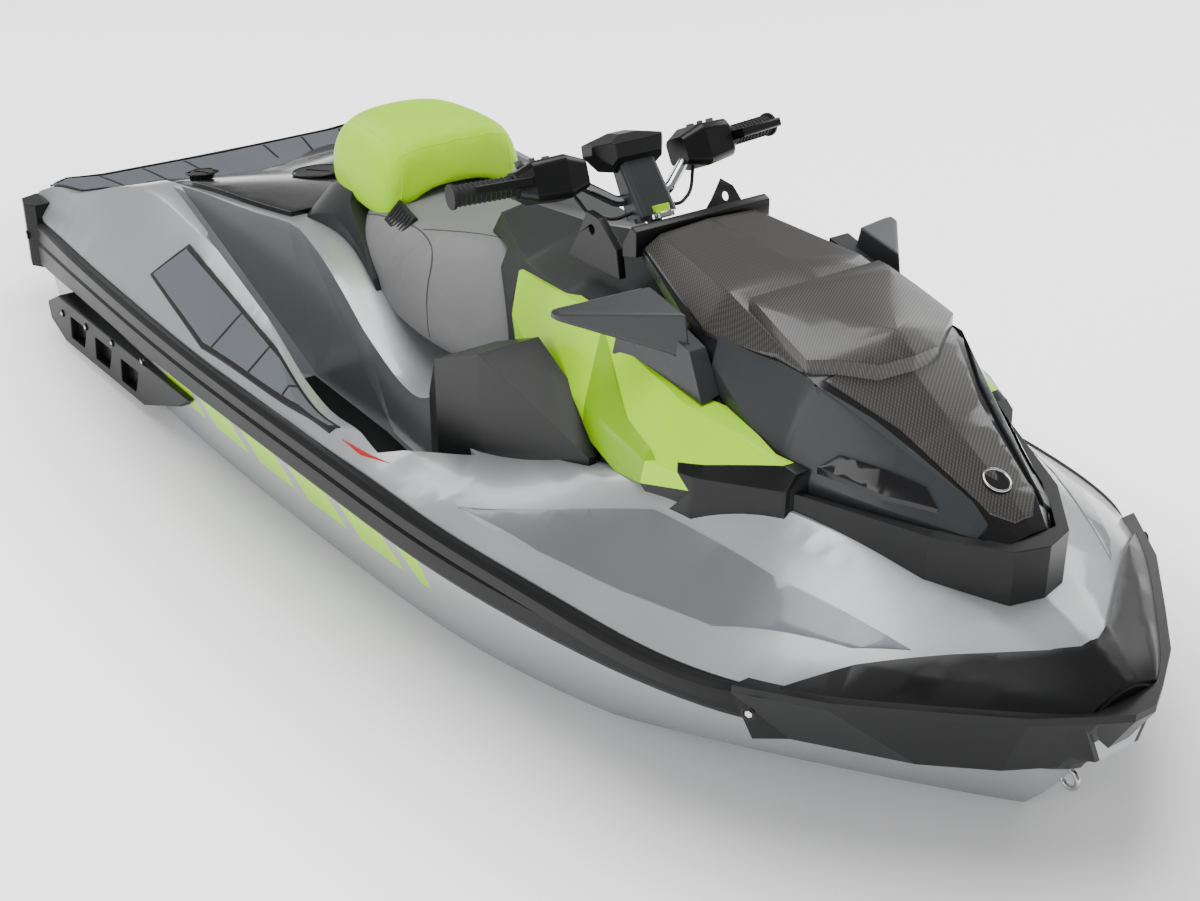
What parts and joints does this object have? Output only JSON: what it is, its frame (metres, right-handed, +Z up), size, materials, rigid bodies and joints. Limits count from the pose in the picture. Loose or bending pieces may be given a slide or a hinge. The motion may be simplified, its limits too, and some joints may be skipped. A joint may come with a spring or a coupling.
{
  "type": "personal watercraft",
  "caption": "Sit-on personal watercraft: V-hull with rub rail, footwells, bolstered racing seat, raked handlebar, opening hood over a storage bin, and jet pump with steering nozzle and reverse gate.",
  "frame": {"origin": "on the resting waterline at half the overall length, on the centre plane", "axes": "+X forward to the bow, +Y to port, +Z up"},
  "size_m": [3.298, 1.254, 1.1342],
  "materials": {
    "silver_gelcoat": "gloss",
    "black_rubber": "satin",
    "black_plastic": "matte",
    "charcoal_plastic": "matte",
    "gloss_black": "gloss",
    "lime_paint": "gloss",
    "lime_vinyl": "satin",
    "grey_vinyl": "satin",
    "grey_foam": "matte",
    "grip_rubber": "matte",
    "black_paint": "satin",
    "brushed_metal": "satin",
    "cast_aluminium": "satin",
    "stainless": "polished",
    "engine_paint": "satin",
    "mirror_glass": "polished"
  },
  "bodies": {
    "craft": {"bow_bumper": "black_plastic", "bow_eye": "stainless", "console_cowl": "charcoal_plastic", "deck": "silver_gelcoat", "engine": "engine_paint", "footwell_mat_port": "grey_foam", "footwell_mat_starboard": "grey_foam", "gunwale_pad_port": "grey_foam", "gunwale_pad_starboard": "grey_foam", "hood_trim": "gloss_black", "hull": "silver_gelcoat", "intake_grate": "cast_aluminium", "mirror_bracket_port": "black_plastic", "mirror_bracket_starboard": "black_plastic", "mirror_glass_port": "mirror_glass", "mirror_glass_starboard": "mirror_glass", "mirror_port": "charcoal_plastic", "mirror_starboard": "charcoal_plastic", "platform_mat": "grey_foam", "pump_housing": "cast_aluminium", "pump_outlet": "cast_aluminium", "pump_stator": "cast_aluminium", "rear_tray": "gloss_black", "ride_plate": "cast_aluminium", "rub_rail_port": "black_rubber", "rub_rail_starboard": "black_rubber", "seat_base": "charcoal_plastic", "seat_bolster": "lime_vinyl", "seat_rider": "grey_vinyl", "side_insert_port": "gloss_black", "side_insert_starboard": "gloss_black", "side_panel_port": "lime_paint", "side_panel_starboard": "lime_paint", "speaker_box_port": "black_plastic", "speaker_box_starboard": "black_plastic", "sponson_port": "black_plastic", "sponson_starboard": "black_plastic", "stern_bumper": "black_plastic", "stern_eye_port": "stainless", "stern_eye_starboard": "stainless", "storage_bin": "black_plastic"},
    "steering": {"control_cable_port": "black_rubber", "control_cable_starboard": "black_rubber", "control_housing_port": "gloss_black", "control_housing_starboard": "gloss_black", "gauge_pod": "gloss_black", "grip_port": "grip_rubber", "grip_starboard": "grip_rubber", "handlebar": "black_paint", "lever_port": "charcoal_plastic", "lever_starboard": "charcoal_plastic", "steering_column": "charcoal_plastic"},
    "hood_lid": {"hood": "gloss_black", "hood_roundel": "brushed_metal"},
    "pump_rotor": {"drive_shaft": "stainless", "impeller": "stainless"},
    "nozzle": {"steering_nozzle": "cast_aluminium"},
    "reverse_bucket": {"reverse_gate": "black_plastic"}
  },
  "joints": [
    {"name": "steering_turn", "type": "hinge", "parent": "craft", "child": "steering", "pos_m": [0.393, 0, 0.715], "axis": [-0.4067, 0, 0.9135], "range_deg": [-22, 22]},
    {"name": "nozzle_turn", "type": "hinge", "parent": "craft", "child": "nozzle", "pos_m": [-1.573, 0, -0.085], "axis": [0, 0, 1], "range_deg": [-20, 20]},
    {"name": "hood_open", "type": "hinge", "parent": "craft", "child": "hood_lid", "pos_m": [1.393, 0, 0.502], "axis": [0, 1, 0], "range_deg": [0, 50]},
    {"name": "impeller_spin", "type": "hinge", "parent": "craft", "child": "pump_rotor", "pos_m": [-1.358, 0, -0.085], "axis": [1, 0, 0], "continuous": true},
    {"name": "reverse_gate_drop", "type": "hinge", "parent": "craft", "child": "reverse_bucket", "pos_m": [-1.523, 0, -0.085], "axis": [0, -1, 0], "range_deg": [0, 75]}
  ],
  "couplings": [
    {"joint": "nozzle_turn", "follows": "steering_turn", "ratio": -0.9}
  ]
}
